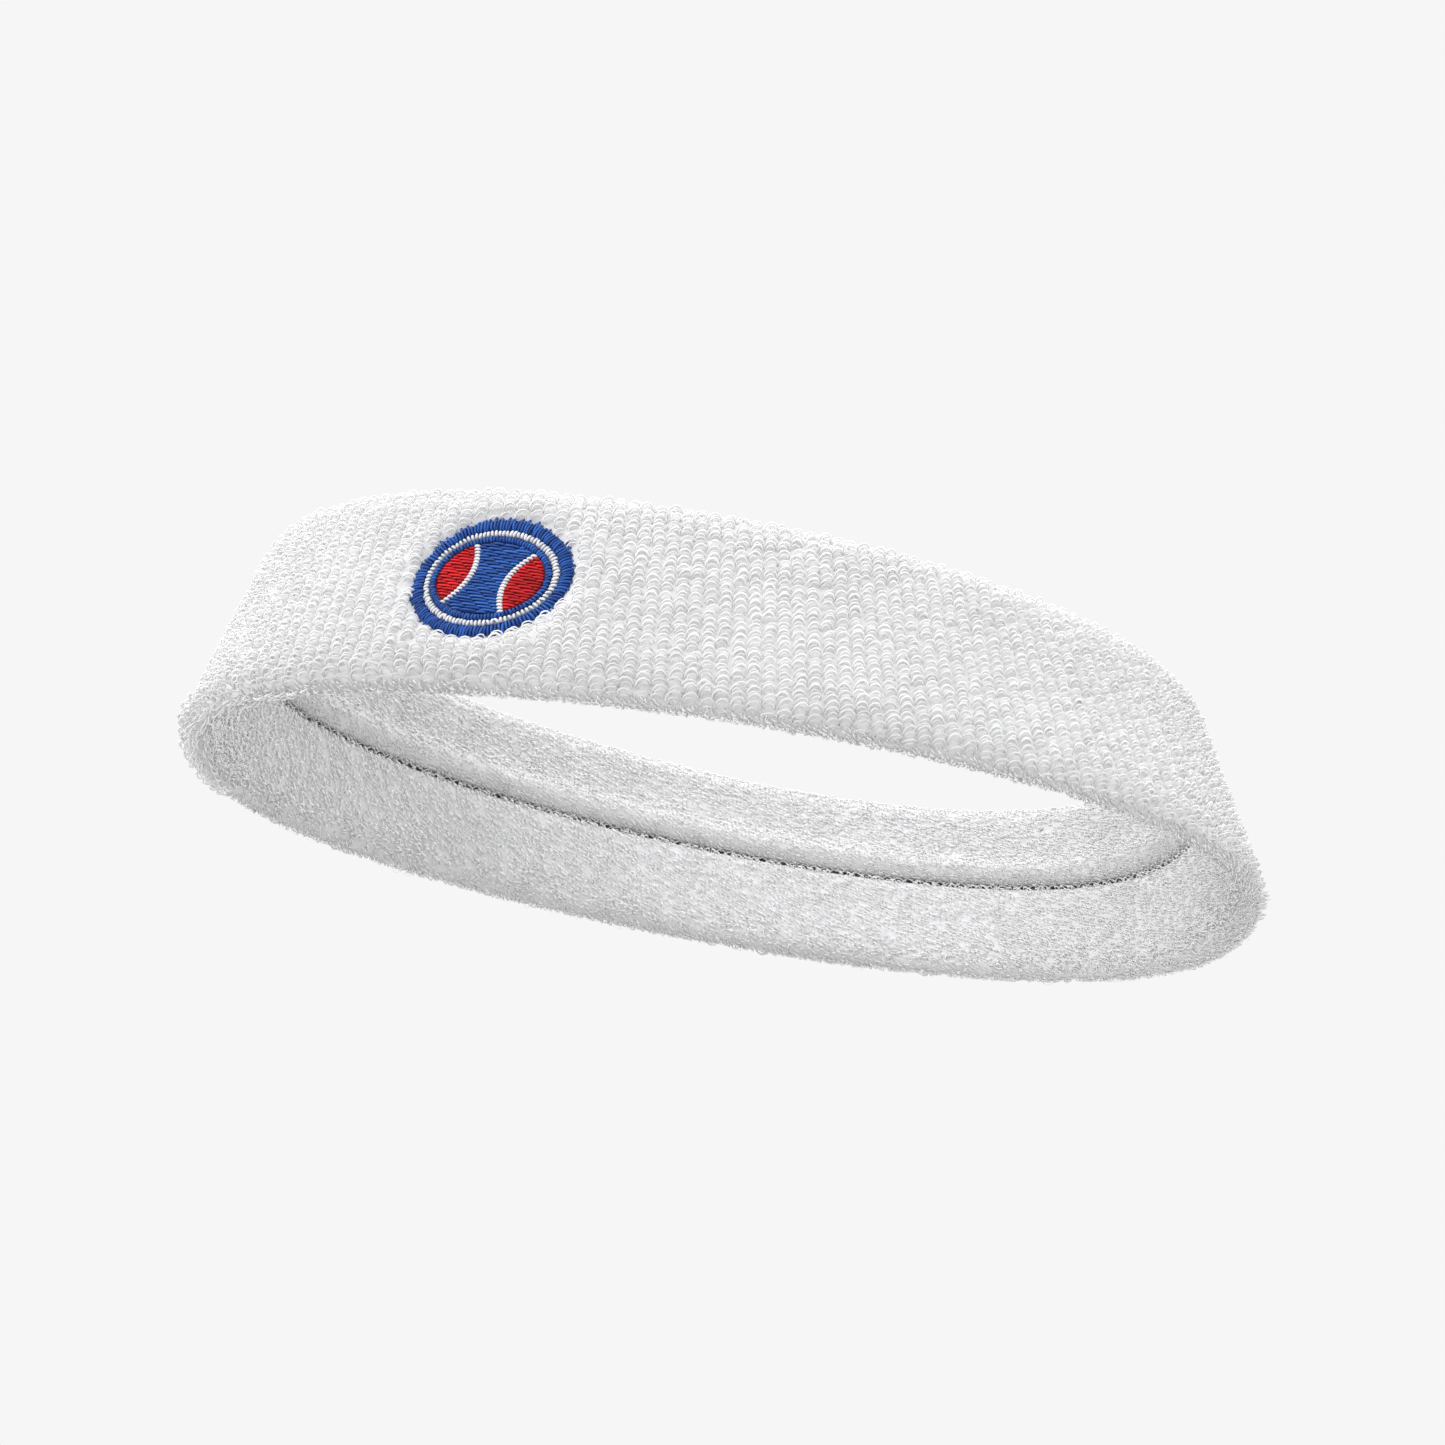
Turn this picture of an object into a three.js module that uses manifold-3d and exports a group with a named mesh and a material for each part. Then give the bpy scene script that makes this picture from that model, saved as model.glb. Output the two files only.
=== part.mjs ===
// Sports headband: a terry-knit tube folded into a two-layer sleeve, joined by an overlocked
// seam on its inside, with an embroidered oval badge. Millimetres, +Z up along the band's axis.
// The band stands on its lower rim, and the badge is on the -Y side.
import * as THREE from 'three';
import { mergeVertices } from 'three/addons/utils/BufferGeometryUtils.js';
import Module from 'manifold-3d';

const wasm = await Module();
wasm.setup();

// The band's outline, at the middle of its wall.
const bandHeight = 42;
const halfLength = 120; // along X, at the lower rim, before its ends are blunted
const halfDepth = 54.4; // along Y, at the lower rim, before its sides are filled out
const endBlunting = 0.069; // a soft band's ends are blunter than an ellipse's
const sideFilling = 0.05; // and its sides are fuller
const eggShape = 0.047; // makes the -X end narrower than the +X end
const lengthTaper = 0.126; // share of its length that the outline loses up to the upper rim
const depthTaper = -0.028; // the depth grows a little instead
const topShift = -3; // the upper rim sits this far along X from the lower one
const topTurn = THREE.MathUtils.degToRad(6.9); // and is turned by this, as a worn band is
const outlineCentre = new THREE.Vector2(0.164, -0.563); // puts the whole band's box about the origin
const ringSteps = 48;
const wallSteps = 4; // rows of faces up the outer wall, because the leaning wall twists

// The wall's layers, measured from its middle to its skin.
const halfThickness = 3.3;
const foldFlat = 1; // half width of the flat that each fold rests on
const pileThickness = 1.3;
const groundThickness = 0.5;
const layerGap = 0.3; // clearance between neighbouring solids

// The inside seam, where the two edges of the folded tube meet.
const seamHeight = 22.7;
const seamSlot = 2.2;
const seamThreadRadius = 0.8;

// Elastic yarns that run round inside the sleeve.
const elasticCount = 4;
const elasticSize = 0.6;
const elasticMargin = 8; // from each rim to the nearest yarn

// The embroidered badge: an oval with a ball's two curved seams.
const badgeAngle = THREE.MathUtils.degToRad(245.2); // where it is on the outline
const badgeHeight = 23;
const badgeTilt = THREE.MathUtils.degToRad(-7); // against the knit's wales, which lean
const badgeHalfWidth = 15.6;
const badgeHalfHeight = 12.4;
const borderWidth = 2;
const inlineWidth = 1;
const threadBuild = 0.9; // how thick the stitching is
const ballSeamWidth = 1;
const ballSeamOut = 7.4; // the ball's seams are this far from its middle at top and bottom
const ballSeamBulge = 3.6; // and this much nearer at mid height
const recessMargin = 0.6; // bare ground round the badge
const backingMargin = 1.6;
const backingThickness = 0.3;
const bobbinThickness = 0.2;

const pileBack = halfThickness - pileThickness;
const groundFace = pileBack - layerGap;
const groundBack = groundFace - groundThickness;

// The point of the wall's middle at an angle round the band and a height.
function outline(angle, z) {
  const rise = z / bandHeight;
  const length = halfLength * (1 - lengthTaper * rise);
  const x = length * (Math.cos(angle) - endBlunting * Math.cos(3 * angle)) + topShift * rise;
  const depth = halfDepth * (1 - depthTaper * rise);
  const fullness = eggShape * Math.sin(2 * angle) - sideFilling * Math.sin(3 * angle);
  const y = depth * (Math.sin(angle) + fullness);
  const turned = new THREE.Vector2(x, y).rotateAround(new THREE.Vector2(), topTurn * rise);
  return turned.add(outlineCentre);
}

// The point that lies a given distance outside the wall's middle.
function wallPoint(angle, z, out) {
  const step = 1e-3;
  const along = outline(angle + step, z).sub(outline(angle - step, z)).normalize();
  const middle = outline(angle, z);
  return new THREE.Vector3(middle.x + along.y * out, middle.y - along.x * out, z);
}

// The point of the badge at (u, v) on its own flat drawing, laid on the wall.
function badgePoint(u, v, out) {
  const flat = new THREE.Vector2(u, v).rotateAround(new THREE.Vector2(), badgeTilt);
  const step = 1e-3;
  const z = badgeHeight + flat.y;
  const stretch = outline(badgeAngle + step, z).distanceTo(outline(badgeAngle, z)) / step;
  return wallPoint(badgeAngle + flat.x / stretch, z, out);
}

// Moves every vertex through place(), and leaves one closed skin with its faces outwards.
function shaped(geometry, place) {
  const bare = geometry.clone();
  bare.deleteAttribute('normal');
  bare.deleteAttribute('uv');
  const position = bare.getAttribute('position');
  const point = new THREE.Vector3();
  for (let i = 0; i < position.count; i += 1) {
    const moved = place(point.fromBufferAttribute(position, i));
    position.setXYZ(i, moved.x, moved.y, moved.z);
  }
  return outward(mergeVertices(bare, 1e-4));
}

function outward(geometry) {
  const position = geometry.getAttribute('position');
  const index = geometry.index.array;
  const [a, b, c] = [new THREE.Vector3(), new THREE.Vector3(), new THREE.Vector3()];
  let volume = 0;
  for (let i = 0; i < index.length; i += 3) {
    a.fromBufferAttribute(position, index[i]);
    b.fromBufferAttribute(position, index[i + 1]);
    c.fromBufferAttribute(position, index[i + 2]);
    volume += a.dot(b.cross(c));
  }
  if (volume < 0) index.reverse();
  geometry.computeVertexNormals();
  return geometry;
}

// A ring that follows the band, from a closed section of (out, height) points.
const latheRadius = 100;
function bandRing(section) {
  const profile = section.map((p) => new THREE.Vector2(latheRadius + p.x, p.y));
  const lathe = new THREE.LatheGeometry([...profile, profile[0]], ringSteps);
  return shaped(lathe, (p) => {
    const angle = Math.round((Math.atan2(p.x, p.z) / (2 * Math.PI)) * ringSteps);
    const out = Math.hypot(p.x, p.z) - latheRadius;
    return wallPoint(((angle % ringSteps) * 2 * Math.PI) / ringSteps, p.y, out);
  });
}

// The line that a layer's face makes round the folded section, from the seam's lower lip,
// under the lower fold, up the outside, over the upper fold and down to the upper lip.
function foldLine(inset, arcSteps) {
  const reach = halfThickness - inset;
  const radius = reach - foldFlat;
  const low = halfThickness - foldFlat;
  const high = bandHeight - low;
  const line = new THREE.Path();
  const climb = (out, to, steps) => {
    const from = line.currentPoint.y;
    for (let i = 1; i <= steps; i += 1) line.lineTo(out, from + ((to - from) * i) / steps);
  };
  line.moveTo(-reach, seamHeight - seamSlot / 2);
  climb(-reach, low, wallSteps / 2);
  line.absarc(-foldFlat, low, radius, Math.PI, 1.5 * Math.PI);
  line.lineTo(foldFlat, inset);
  line.absarc(foldFlat, low, radius, -0.5 * Math.PI, 0);
  climb(reach, high, wallSteps);
  line.absarc(foldFlat, high, radius, 0, 0.5 * Math.PI);
  line.lineTo(-foldFlat, bandHeight - inset);
  line.absarc(-foldFlat, high, radius, 0.5 * Math.PI, Math.PI);
  climb(-reach, seamHeight + seamSlot / 2, wallSteps / 2);
  return line.getPoints(arcSteps);
}

function foldedLayer(faceInset, backInset, faceSteps, backSteps) {
  return bandRing([...foldLine(faceInset, faceSteps), ...foldLine(backInset, backSteps).reverse()]);
}

function roundSection(out, z, radius, sides) {
  return new THREE.Path().absarc(out, z, radius, 0, 2 * Math.PI).getSpacedPoints(sides).slice(1);
}

// An oval ring of stitching, between two distances inside the badge's edge.
const ovalSteps = 48;
function badgeRing(outerInset, innerInset) {
  const inset = [outerInset, innerInset, innerInset, outerInset, outerInset];
  const out = [pileBack, pileBack, pileBack + threadBuild, pileBack + threadBuild, pileBack];
  const profile = inset.map((value, i) => new THREE.Vector2(latheRadius - value, out[i]));
  return shaped(new THREE.LatheGeometry(profile, ovalSteps), (p) => {
    const step = Math.round((Math.atan2(p.x, p.z) / (2 * Math.PI)) * ovalSteps) % ovalSteps;
    const angle = (step * 2 * Math.PI) / ovalSteps;
    const away = Math.hypot(p.x, p.z) - latheRadius;
    const u = (badgeHalfWidth + away) * Math.cos(angle);
    return badgePoint(u, (badgeHalfHeight + away) * Math.sin(angle), p.y);
  });
}

// A patch between two edges, each a function of the height v on the badge's drawing.
function badgePatch(left, right, reach, low, high, across = 4, rows = 12) {
  return shaped(new THREE.BoxGeometry(1, 1, 1, across, rows, 1), (p) => {
    const v = 2 * reach * p.y;
    const u = THREE.MathUtils.lerp(left(v), right(v), p.x + 0.5);
    return badgePoint(u, v, THREE.MathUtils.lerp(low, high, p.z + 0.5));
  });
}

// Half the width, at height v, of the badge's oval taken in by an inset.
function ovalHalf(v, inset) {
  const share = v / (badgeHalfHeight - inset);
  return (badgeHalfWidth - inset) * Math.sqrt(Math.max(1 - share * share, 0));
}

function toManifold(geometry) {
  return new wasm.Manifold(new wasm.Mesh({
    numProp: 3,
    vertProperties: new Float32Array(geometry.getAttribute('position').array),
    triVerts: new Uint32Array(geometry.index.array),
  }));
}

function cut(body, tool) {
  const mesh = toManifold(body).subtract(toManifold(tool)).getMesh();
  const geometry = new THREE.BufferGeometry();
  geometry.setAttribute('position', new THREE.BufferAttribute(mesh.vertProperties, 3));
  geometry.setIndex(new THREE.BufferAttribute(mesh.triVerts, 1));
  return geometry;
}

const materials = {
  cotton: { color: 0xf6f6f4, roughness: 0.95, metalness: 0 },
  ground: { color: 0xe9e9e6, roughness: 0.9, metalness: 0 },
  thread: { color: 0xf2f2ef, roughness: 0.7, metalness: 0 },
  elastic: { color: 0xdcdcd8, roughness: 0.6, metalness: 0 },
  backing: { color: 0xf0f0ee, roughness: 0.9, metalness: 0 },
  blue: { color: 0x1f50a8, roughness: 0.5, metalness: 0 },
  red: { color: 0xd01622, roughness: 0.5, metalness: 0 },
  white: { color: 0xf8f8f8, roughness: 0.5, metalness: 0 },
};

const headband = new THREE.Group();

function addPiece(name, geometry, material) {
  const mesh = new THREE.Mesh(geometry, new THREE.MeshStandardMaterial(materials[material]));
  mesh.name = name;
  headband.add(mesh);
}

// The sleeve: the pile on the outside of the ground knit that carries it.
function makePile() {
  const wholePile = foldedLayer(0, pileThickness, 2, 1);
  const recess = new THREE.CylinderGeometry(1, 1, 1, ovalSteps, 1);
  const plug = shaped(recess, (p) => {
    const u = (badgeHalfWidth + recessMargin) * p.x;
    const v = (badgeHalfHeight + recessMargin) * p.z;
    return badgePoint(u, v, p.y < 0 ? 0 : 2 * halfThickness);
  });
  return cut(wholePile, plug);
}

addPiece('terry_pile', makePile(), 'cotton');
addPiece(
  'ground_knit',
  foldedLayer(halfThickness - groundFace, halfThickness - groundBack, 1, 1),
  'ground',
);

const seamOut = -(pileBack + groundBack + layerGap) / 2;
addPiece(
  'seam_overlock_thread',
  bandRing(roundSection(seamOut, seamHeight, seamThreadRadius, 6)),
  'thread',
);

for (let i = 0; i < elasticCount; i += 1) {
  const spread = (bandHeight - 2 * elasticMargin) / (elasticCount - 1);
  const section = roundSection(-0.5, elasticMargin + i * spread, elasticSize / Math.SQRT2, 4);
  addPiece(`elastic_yarn_${i + 1}`, bandRing(section), 'elastic');
}

// Behind the badge: the tear-away backing, and the bobbin side of the stitches.
const backingFace = groundBack - layerGap;
const bobbinFace = backingFace - backingThickness - layerGap;
function ovalPatch(inset, low, high) {
  const edge = (v) => ovalHalf(v, inset);
  return badgePatch((v) => -edge(v), edge, 0.97 * (badgeHalfHeight - inset), low, high, 6, 12);
}
addPiece(
  'embroidery_backing',
  ovalPatch(-backingMargin, backingFace - backingThickness, backingFace),
  'backing',
);
addPiece('bobbin_stitching', ovalPatch(0, bobbinFace - bobbinThickness, bobbinFace), 'thread');

// The badge's rings, from its edge inwards.
const inlineInset = borderWidth + layerGap;
const outlineInset = inlineInset + inlineWidth + layerGap;
const fieldInset = outlineInset + inlineWidth + layerGap;
addPiece('badge_border_blue', badgeRing(0, borderWidth), 'blue');
addPiece('badge_inline_white', badgeRing(inlineInset, inlineInset + inlineWidth), 'white');
addPiece('badge_outline_blue', badgeRing(outlineInset, outlineInset + inlineWidth), 'blue');

// The field inside them: a middle panel, two side panels and the two curved seams between.
const fieldHalfHeight = badgeHalfHeight - fieldInset;
const fieldHalf = (v) => ovalHalf(v, fieldInset);
const ballSeam = (v) => ballSeamOut - ballSeamBulge * (1 - (v / fieldHalfHeight) ** 2);
const seamInner = (v) => ballSeam(v) - ballSeamWidth / 2;
const seamOuter = (v) => ballSeam(v) + ballSeamWidth / 2;
const middleHalf = (v) => Math.min(fieldHalf(v), seamInner(v) - layerGap);

// The greatest height at which a piece is still this wide between two edges.
function reachWhere(inner, outer, leastWidth) {
  let v = fieldHalfHeight;
  while (outer(v) - inner(v) < leastWidth) v -= 0.05;
  return v;
}
const stitchFace = pileBack + threadBuild;
const seamReach = reachWhere(seamInner, fieldHalf, ballSeamWidth);
const sideInner = (v) => seamOuter(v) + layerGap;
const sideReach = reachWhere(sideInner, fieldHalf, ballSeamWidth);
const middleReach = 0.96 * fieldHalfHeight;
addPiece(
  'badge_panel_middle_blue',
  badgePatch((v) => -middleHalf(v), middleHalf, middleReach, pileBack, stitchFace, 4, 16),
  'blue',
);
for (const [side, sign] of [['left', -1], ['right', 1]]) {
  const mirrored = (edge) => (v) => sign * edge(v);
  const seam = badgePatch(
    mirrored(seamInner), mirrored(seamOuter), seamReach, pileBack, stitchFace, 1, 10,
  );
  addPiece(`badge_ball_seam_${side}_white`, seam, 'white');
  const panel = badgePatch(
    mirrored(sideInner), mirrored(fieldHalf), sideReach, pileBack, stitchFace, 3, 10,
  );
  addPiece(`badge_panel_${side}_red`, panel, 'red');
}

export default headband;
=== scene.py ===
import math

import bmesh
import bpy
import numpy as np
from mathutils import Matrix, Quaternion, Vector


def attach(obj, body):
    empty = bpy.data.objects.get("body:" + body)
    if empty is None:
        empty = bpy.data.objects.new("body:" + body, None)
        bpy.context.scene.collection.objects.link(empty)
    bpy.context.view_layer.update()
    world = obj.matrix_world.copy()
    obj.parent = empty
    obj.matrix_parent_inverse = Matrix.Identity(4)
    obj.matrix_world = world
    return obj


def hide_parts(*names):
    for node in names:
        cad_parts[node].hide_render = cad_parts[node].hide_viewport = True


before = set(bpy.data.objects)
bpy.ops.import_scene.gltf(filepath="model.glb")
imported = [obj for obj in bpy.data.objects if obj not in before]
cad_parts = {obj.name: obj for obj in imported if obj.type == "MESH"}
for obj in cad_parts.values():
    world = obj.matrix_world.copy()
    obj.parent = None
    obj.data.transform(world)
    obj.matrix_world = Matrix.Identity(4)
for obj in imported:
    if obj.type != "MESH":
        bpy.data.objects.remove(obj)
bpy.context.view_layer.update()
mm = 0.001
scene = bpy.context.scene

# Camera, light and floor
view = {
    "stand": (0.1, -555.9, -245.9),  # low in front of the band, looking up into it
    "aim": (-3.2, -2.9, 26.0),
    "roll": 9.73,  # degrees
    "lens": 72.4,
    "sensor": 36,
    "clip": (0.02, 200),  # metres
}


def makeCamera():
    data = bpy.data.cameras.new("studioCamera")
    data.lens, data.sensor_width = view["lens"], view["sensor"]
    data.clip_start, data.clip_end = view["clip"]
    camera = bpy.data.objects.new("studioCamera", data)
    scene.collection.objects.link(camera)
    stand, aim = Vector(view["stand"]) * mm, Vector(view["aim"]) * mm
    camera.location = stand
    camera.rotation_mode = "QUATERNION"
    level = (aim - stand).to_track_quat("-Z", "Y")
    camera.rotation_quaternion = level @ Quaternion((0, 0, 1), math.radians(view["roll"]))
    scene.camera = camera


studio = {
    "backdrop": 0.922,  # what the camera sees behind the band
    "ambient": 0.92,  # the light from all round
    "floorGlow": 0.77,  # so that the band's underside isn't lost in its own shadow
    "floorTone": 0.10,
    "floorHalf": 60,  # metres
}
lamps = {  # places in metres, powers in watts
    "keyLamp": {"at": (-1.6, -1.05, 0.85), "size": 0.9, "power": 21.5},
    "topLamp": {"at": (0.45, -0.55, 1.15), "size": 1.1, "power": 9.5},
    "lowLamp": {"at": (-0.75, -1.6, -0.5), "size": 0.8, "power": 5.2},
}


def nodesOf(material):
    material.use_nodes = True
    material.node_tree.nodes.clear()
    return material.node_tree.nodes, material.node_tree.links


def makeWorld():
    world = bpy.data.worlds.new("studioWorld")
    scene.world = world
    nodes, links = nodesOf(world)
    path = nodes.new("ShaderNodeLightPath")
    mix = nodes.new("ShaderNodeMixShader")
    out = nodes.new("ShaderNodeOutputWorld")
    links.new(path.outputs["Is Camera Ray"], mix.inputs[0])
    for socket, level in ((1, studio["ambient"]), (2, studio["backdrop"])):
        glow = nodes.new("ShaderNodeBackground")
        glow.inputs["Color"].default_value = (level, level, level, 1)
        links.new(glow.outputs[0], mix.inputs[socket])
    links.new(mix.outputs[0], out.inputs["Surface"])
    scene.view_settings.view_transform = "Standard"


def makeLamps():
    for name, lamp in lamps.items():
        data = bpy.data.lights.new(name, "AREA")
        data.shape, data.size, data.energy = "DISK", lamp["size"], lamp["power"]
        obj = bpy.data.objects.new(name, data)
        scene.collection.objects.link(obj)
        obj.location = lamp["at"]
        obj.rotation_mode = "QUATERNION"
        obj.rotation_quaternion = (-Vector(lamp["at"])).to_track_quat("-Z", "Y")
        obj.visible_camera = False


def makeFloor():
    bm = bmesh.new()
    bmesh.ops.create_grid(bm, x_segments=1, y_segments=1, size=studio["floorHalf"])
    data = bpy.data.meshes.new("studioFloor")
    bm.to_mesh(data)
    bm.free()
    floor = bpy.data.objects.new("studioFloor", data)
    scene.collection.objects.link(floor)
    material = bpy.data.materials.new("studioFloor")
    nodes, links = nodesOf(material)
    face = nodes.new("ShaderNodeNewGeometry")
    tone = nodes.new("ShaderNodeBsdfDiffuse")
    tone.inputs["Color"].default_value = (studio["floorTone"],) * 3 + (1,)
    glow = nodes.new("ShaderNodeEmission")
    glow.inputs["Strength"].default_value = studio["floorGlow"]
    top = nodes.new("ShaderNodeAddShader")
    clear = nodes.new("ShaderNodeBsdfTransparent")
    mix = nodes.new("ShaderNodeMixShader")  # clear from below, so the low camera looks through it
    out = nodes.new("ShaderNodeOutputMaterial")
    links.new(tone.outputs[0], top.inputs[0])
    links.new(glow.outputs[0], top.inputs[1])
    links.new(face.outputs["Backfacing"], mix.inputs[0])
    links.new(top.outputs[0], mix.inputs[1])
    links.new(clear.outputs[0], mix.inputs[2])
    links.new(mix.outputs[0], out.inputs["Surface"])
    data.materials.append(material)


makeCamera()
makeWorld()
makeLamps()
makeFloor()
print("stage: camera, world, lamps and floor")

# The band's wall: an oval that narrows and turns a little up to its upper rim
band = {
    "height": 42,
    "halfLength": 120,
    "halfDepth": 54.4,
    "endBlunting": 0.069,
    "sideFilling": 0.05,
    "eggShape": 0.047,
    "lengthTaper": 0.126,
    "depthTaper": -0.028,
    "topShift": -3,
    "topTurn": 6.9,  # degrees
    "centre": (0.164, -0.563),
}


turnStep = 1e-3  # radians, for slopes round the oval


def outline(angle, z):
    rise = z / band["height"]
    length = band["halfLength"] * (1 - band["lengthTaper"] * rise)
    x = length * (np.cos(angle) - band["endBlunting"] * np.cos(3 * angle)) + band["topShift"] * rise
    depth = band["halfDepth"] * (1 - band["depthTaper"] * rise)
    fullness = band["eggShape"] * np.sin(2 * angle) - band["sideFilling"] * np.sin(3 * angle)
    y = depth * (np.sin(angle) + fullness)
    turn = np.radians(band["topTurn"]) * rise
    flat = np.stack([x * np.cos(turn) - y * np.sin(turn), x * np.sin(turn) + y * np.cos(turn)], -1)
    return flat + np.array(band["centre"])


def unit(vectors):
    return vectors / np.linalg.norm(vectors, axis=-1, keepdims=True)


# The directions along the band, up its leaning wall and outwards, at points of its middle.
def wallAxes(angle, z):
    along = unit(outline(angle + turnStep, z) - outline(angle - turnStep, z))
    lean = outline(angle, z + 0.5) - outline(angle, z - 0.5)
    flat = np.zeros(along.shape[:-1] + (1,))
    up = unit(np.concatenate([lean, flat + 1], -1))
    outward = np.concatenate([along[..., 1:], -along[..., :1], flat], -1)
    return np.concatenate([along, flat], -1), up, outward


def wallPoint(angle, z, out):
    middle = np.concatenate([outline(angle, z), (z + 0 * angle)[..., None]], -1)
    return middle + wallAxes(angle, z)[2] * np.asarray(out)[..., None]


# The badge's own flat drawing, and how it lies on the wall
badge = {
    "angle": math.radians(245.2),
    "height": 23,
    "tilt": math.radians(-7),
    "halfWidth": 15.6,
    "halfHeight": 12.4,
    "borderWidth": 2,
    "inlineWidth": 1,
    "gap": 0.3,
    "seamWidth": 1,
    "seamOut": 7.4,
    "seamBulge": 3.6,
    "face": 1.7,  # where its stitches start, from the wall's middle
    "dimple": 0.9,  # how far the sleeve swells round it
    "dimpleAt": 4.2,  # from its edge to the top of the swelling
    "dimpleWide": 3.0,
    "sunk": 1.0,  # how far the knit is drawn in under it
    "sunkEdge": 0.6,
    "sunkSoft": 0.5,
}
badge["fieldInset"] = badge["borderWidth"] + 2 * badge["inlineWidth"] + 3 * badge["gap"]


# How many millimetres of wall a radian is.
def stretch(angle, z):
    ahead = outline(angle + turnStep + 0 * z, z)
    return np.linalg.norm(ahead - outline(angle + 0 * z, z), axis=-1) / turnStep


def badgeStretch(z):
    return stretch(badge["angle"], z)


# From the drawing to the wall, and back.
def onWall(u, v):
    c, s = math.cos(badge["tilt"]), math.sin(badge["tilt"])
    z = badge["height"] + s * u + c * v
    return badge["angle"] + (c * u - s * v) / badgeStretch(z), z


def onDrawing(angle, z):
    c, s = math.cos(badge["tilt"]), math.sin(badge["tilt"])
    away = (angle - badge["angle"] + math.pi) % (2 * math.pi) - math.pi
    x, y = away * badgeStretch(z), z - badge["height"]
    return c * x + s * y, c * y - s * x


# Roughly how far a point of the wall is outside the badge's edge.
def badgeDistance(angle, z):
    u, v = onDrawing(angle, z)
    share = np.hypot(u / badge["halfWidth"], v / badge["halfHeight"])
    return (share - 1) * np.hypot(u, v) / np.maximum(share, 1e-3)


def badgeSwell(angle, z):
    d = badgeDistance(angle, z)
    ring = np.exp(-(((d - badge["dimpleAt"]) / badge["dimpleWide"]) ** 2))
    sunk = 1 / (1 + np.exp((d - badge["sunkEdge"]) / badge["sunkSoft"]))
    return badge["dimple"] * ring * (1 - sunk) - badge["sunk"] * sunk


# The folded section, from the seam's lower lip round both folds to its upper lip
fold = {
    "outer": 2.4,  # from the wall's middle to the knit's outer face
    "inner": 2.65,  # and to its inner face, where the pile is pressed flat
    "low": 0.5,  # how high the lower fold's knit is above the floor
    "seam": 22.7,
    "knitThickness": 0.5,
    "step": 1.4,  # between the knit's rows of vertices
    "ringSteps": 360,
}


def foldPath():
    outer, inner, low, seam = (fold[k] for k in ("outer", "inner", "low", "seam"))
    high = band["height"] - low
    corners = [(-0.6, seam - 0.8), (-1.6, seam - 0.9), (-2.4, seam - 1.4), (-inner, seam - 2.5)]
    corners += [(-inner, z) for z in (18, 14, 10, 6, low + 3)]
    corners += [(-inner + 0.2, low + 1.4), (-1.9, low + 0.4), (-0.7, low), (0.5, low)]
    corners += [(1.35, low + 0.5), (1.75, low + 1.5), (1.85, low + 3), (outer - 0.25, low + 6)]
    corners += [(outer, z) for z in (9, 13, 17, 21, 26, 31, 36)]
    corners += [(outer - 0.1, high - 2.6), (1.9, high - 1.0), (1.0, high - 0.2), (0, high)]
    corners += [(-1.2, high - 0.15), (-2.1, high - 0.8), (-inner, high - 2.5)]
    corners += [(-inner, z) for z in (36, 33, seam + 8)]
    corners += [
        (-2.8, seam + 7.2), (-3.2, seam + 6.0), (-3.8, seam + 4.8), (-4.1, seam + 3.8),
        (-3.85, seam + 2.5), (-3.2, seam + 1.4), (-2.3, seam + 0.6), (-1.4, seam + 0.2),
        (-0.6, seam + 0.1),
    ]
    return smoothLine(np.array(corners))


# A Catmull-Rom line through the corners, in even steps.
def smoothLine(corners, fine=0.1):
    p = np.vstack([2 * corners[0] - corners[1], corners, 2 * corners[-1] - corners[-2]])
    s = np.linspace(0, 1, 21)[:-1, None]
    parts = [
        0.5 * (
            2 * b + (c - a) * s + (2 * a - 5 * b + 4 * c - d) * s**2
            + (3 * b - a - 3 * c + d) * s**3
        )
        for a, b, c, d in zip(p, p[1:], p[2:], p[3:])
    ]
    line = np.vstack(parts + [corners[-1:]])
    run = np.concatenate([[0], np.cumsum(np.linalg.norm(np.diff(line, axis=0), axis=1))])
    even = np.linspace(0, run[-1], int(run[-1] / fine))
    return even, np.stack([np.interp(even, run, line[:, i]) for i in (0, 1)], -1)


pathRun, pathLine = foldPath()
pathEnd = pathRun[-1]


# Out and height of the section at a run along it, its direction there, and its normal.
def sectionAt(run):
    point = np.stack([np.interp(run, pathRun, pathLine[:, i]) for i in (0, 1)], -1)
    ends = [np.clip(run + d, 0, pathEnd) for d in (-0.3, 0.3)]  # a short chord round the run
    back, front = (
        np.stack([np.interp(e, pathRun, pathLine[:, i]) for i in (0, 1)], -1) for e in ends
    )
    course = unit(front - back)
    return point, course, np.stack([course[..., 1], -course[..., 0]], -1)


# The run at which the outer wall, or the inner one, is at a height.
def runAt(z, outside):
    side = pathLine[:, 0] > 0 if outside else pathLine[:, 0] < -2
    pick = np.flatnonzero(side)
    return pathRun[pick[np.argmin(np.abs(pathLine[pick, 1] - z))]]


# A point of the knit's outer face, and the directions there: along the band, along the section
# and outwards.
def skin(angle, run, lift=0.0):
    point, course, normal = sectionAt(run)
    z = point[..., 1]
    outer = np.clip(point[..., 0] / fold["outer"], 0, 1) ** 2
    out = point[..., 0] + badgeSwell(angle, z) * outer
    along, up, outward = wallAxes(angle, z)
    place = wallPoint(angle, z, out)
    n = unit(normal[..., :1] * outward + normal[..., 1:] * up)
    c = unit(course[..., :1] * outward + course[..., 1:] * up)
    return place + n * np.asarray(lift)[..., None], along, c, n


# Angles that are evenly spaced along the band at half its height.
def evenAngles(count, z=21.0):
    fine = np.linspace(0, 2 * math.pi, 4001)
    flat = outline(fine, z + 0 * fine)
    run = np.concatenate([[0], np.cumsum(np.linalg.norm(np.diff(flat, axis=0), axis=1))])
    return np.interp(np.arange(count) / count * run[-1], run, fine)


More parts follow.
